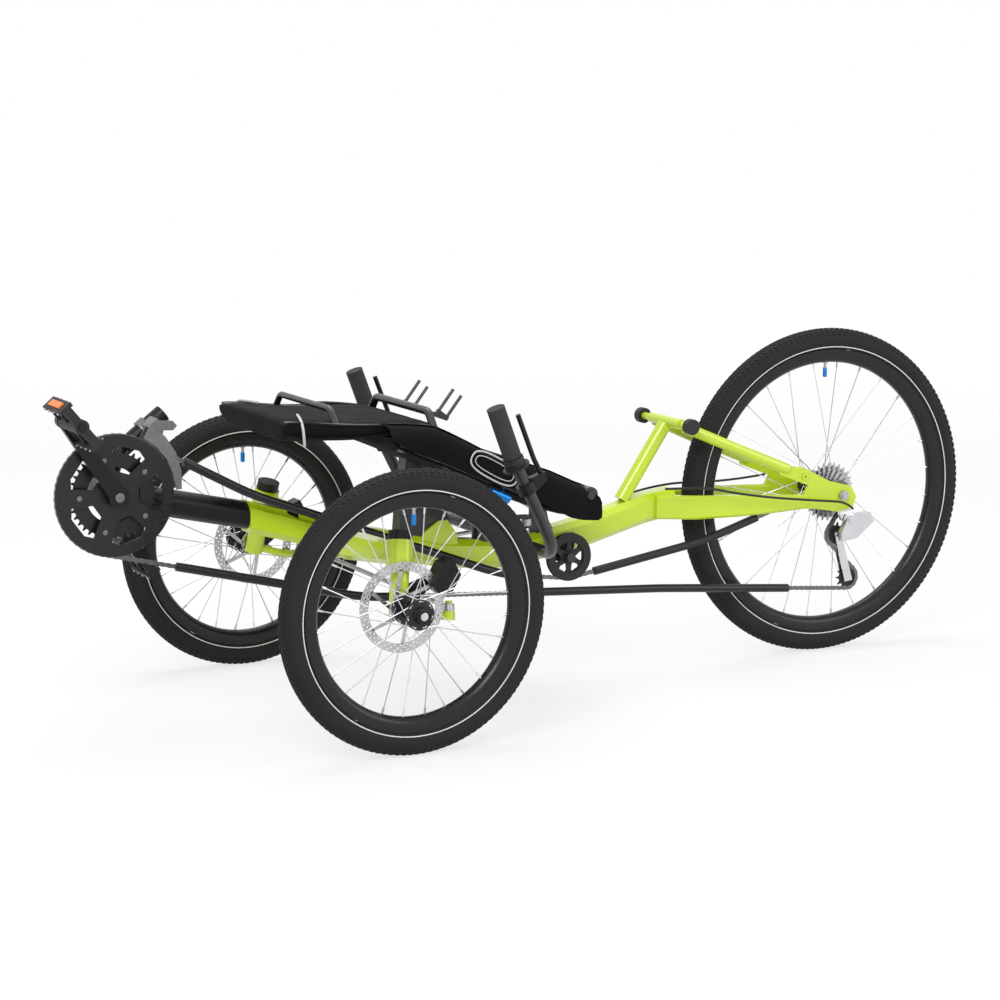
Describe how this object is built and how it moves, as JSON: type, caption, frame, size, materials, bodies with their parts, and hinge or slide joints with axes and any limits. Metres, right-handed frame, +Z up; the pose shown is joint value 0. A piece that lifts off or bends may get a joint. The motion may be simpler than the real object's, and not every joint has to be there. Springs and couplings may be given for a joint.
{
  "type": "recumbent trike",
  "caption": "Tadpole recumbent trike: steered front wheels, driven rear wheel, under-seat handlebar, long chain in guide tubes and a seat back that folds forward.",
  "frame": {"origin": "on the floor, at the middle of the whole length and width", "axes": "+X forward to the pedals, +Y to the left (chain side), +Z up"},
  "size_m": [1.9741, 0.856, 0.653],
  "materials": {
    "frame_paint": "gloss paint",
    "black_paint": "satin paint",
    "black_alloy": "anodised",
    "bright_alloy": "polished",
    "steel": "brushed",
    "chain_steel": "oiled",
    "tyre": "matte",
    "black_plastic": "matte",
    "grip_rubber": "matte",
    "blue_alloy": "anodised",
    "mesh": "woven"
  },
  "bodies": {
    "frame": {"bar_pivot": "black_paint", "boom": "black_alloy", "chain": "chain_steel", "chain_tubes": "black_plastic", "chainstay_left": "frame_paint", "chainstay_right": "frame_paint", "cross_arm_left": "frame_paint", "cross_arm_right": "frame_paint", "front_derailleur": "bright_alloy", "idler_mount": "black_paint", "jockey_wheels": "black_plastic", "rear_axle": "steel", "rear_derailleur": "bright_alloy", "seat_adjusters": "blue_alloy", "seat_base_frame": "black_paint", "seat_base_sling": "mesh", "seat_posts": "black_paint", "seat_stay_left": "frame_paint", "seat_stay_right": "frame_paint", "seat_strut": "frame_paint", "spine": "frame_paint", "strut_knobs": "black_plastic"},
    "crankset": {"chainrings": "bright_alloy", "ring_guard": "black_alloy", "crank_left": "black_alloy", "crank_right": "black_alloy"},
    "pedal_left": {"pedal_left": "black_plastic"},
    "pedal_right": {"pedal_right": "black_plastic"},
    "idler": {"idler": "black_plastic"},
    "handlebar": {"handlebar": "black_paint", "grips": "grip_rubber", "twist_shifters": "black_plastic", "brake_levers": "black_alloy"},
    "knuckle_left": {"knuckle_left": "frame_paint", "kingpin_cap_left": "black_alloy", "caliper_left": "black_alloy"},
    "knuckle_right": {"knuckle_right": "frame_paint", "kingpin_cap_right": "black_alloy", "caliper_right": "black_alloy"},
    "tie_rod": {"tie_rod": "steel"},
    "drag_link": {"drag_link": "steel"},
    "wheel_left": {"tyre_left": "tyre", "wire_wheel_left": "black_alloy", "rotor_left": "steel"},
    "wheel_right": {"tyre_right": "tyre", "wire_wheel_right": "black_alloy", "rotor_right": "steel"},
    "wheel_rear": {"tyre_rear": "tyre", "wire_wheel_rear": "black_alloy", "cassette": "steel"},
    "seat_back": {"seat_back_frame": "black_paint", "seat_back_sling": "mesh", "seat_forks": "black_paint"}
  },
  "joints": [
    {"name": "crank_spin", "type": "hinge", "parent": "frame", "child": "crankset", "pos_m": [0.848, 0, 0.433], "axis": [0, 1, 0], "continuous": true},
    {"name": "pedal_left_spin", "type": "hinge", "parent": "crankset", "child": "pedal_left", "pos_m": [0.94404, 0.13, 0.57327], "axis": [0, 1, 0], "continuous": true},
    {"name": "pedal_right_spin", "type": "hinge", "parent": "crankset", "child": "pedal_right", "pos_m": [0.75196, -0.13, 0.29273], "axis": [0, 1, 0], "continuous": true},
    {"name": "idler_spin", "type": "hinge", "parent": "frame", "child": "idler", "pos_m": [-0.053, 0.056, 0.25], "axis": [0, 1, 0], "continuous": true},
    {"name": "steering", "type": "hinge", "parent": "frame", "child": "handlebar", "pos_m": [0.105, 0, 0.306], "axis": [0, 0, 1], "range_deg": [-25, 25]},
    {"name": "kingpin_left", "type": "hinge", "parent": "frame", "child": "knuckle_left", "pos_m": [0.418, 0.305, 0.338], "axis": [-0.1354, -0.2313, 0.9634], "range_deg": [-26, 26]},
    {"name": "kingpin_right", "type": "hinge", "parent": "frame", "child": "knuckle_right", "pos_m": [0.418, -0.305, 0.338], "axis": [-0.1354, 0.2313, 0.9634], "range_deg": [-26, 26]},
    {"name": "tie_rod_pivot", "type": "hinge", "parent": "knuckle_left", "child": "tie_rod", "pos_m": [0.3335, 0.32557, 0.23831], "axis": [-0.0664, -0.2318, 0.9705], "range_deg": [-27, 27]},
    {"name": "drag_link_pivot", "type": "hinge", "parent": "handlebar", "child": "drag_link", "pos_m": [0.01259, 0.00893, 0.31471], "axis": [0.0568, 0.01, 0.9983], "range_deg": [-27, 27]},
    {"name": "wheel_left_spin", "type": "hinge", "parent": "knuckle_left", "child": "wheel_left", "pos_m": [0.43, 0.386, 0.25], "axis": [0, 1, 0], "continuous": true},
    {"name": "wheel_right_spin", "type": "hinge", "parent": "knuckle_right", "child": "wheel_right", "pos_m": [0.43, -0.386, 0.25], "axis": [0, 1, 0], "continuous": true},
    {"name": "wheel_rear_spin", "type": "hinge", "parent": "frame", "child": "wheel_rear", "pos_m": [-0.664, 0, 0.3265], "axis": [0, 1, 0], "continuous": true},
    {"name": "seat_back_fold", "type": "hinge", "parent": "frame", "child": "seat_back", "pos_m": [-0.027, 0, 0.39], "axis": [0, -1, 0], "range_deg": [0, 122]}
  ],
  "couplings": [
    {"joint": "kingpin_left", "follows": "steering", "ratio": 1},
    {"joint": "kingpin_right", "follows": "steering", "ratio": 1},
    {"joint": "tie_rod_pivot", "follows": "steering", "ratio": -1.0028},
    {"joint": "drag_link_pivot", "follows": "steering", "ratio": -1.0021}
  ]
}
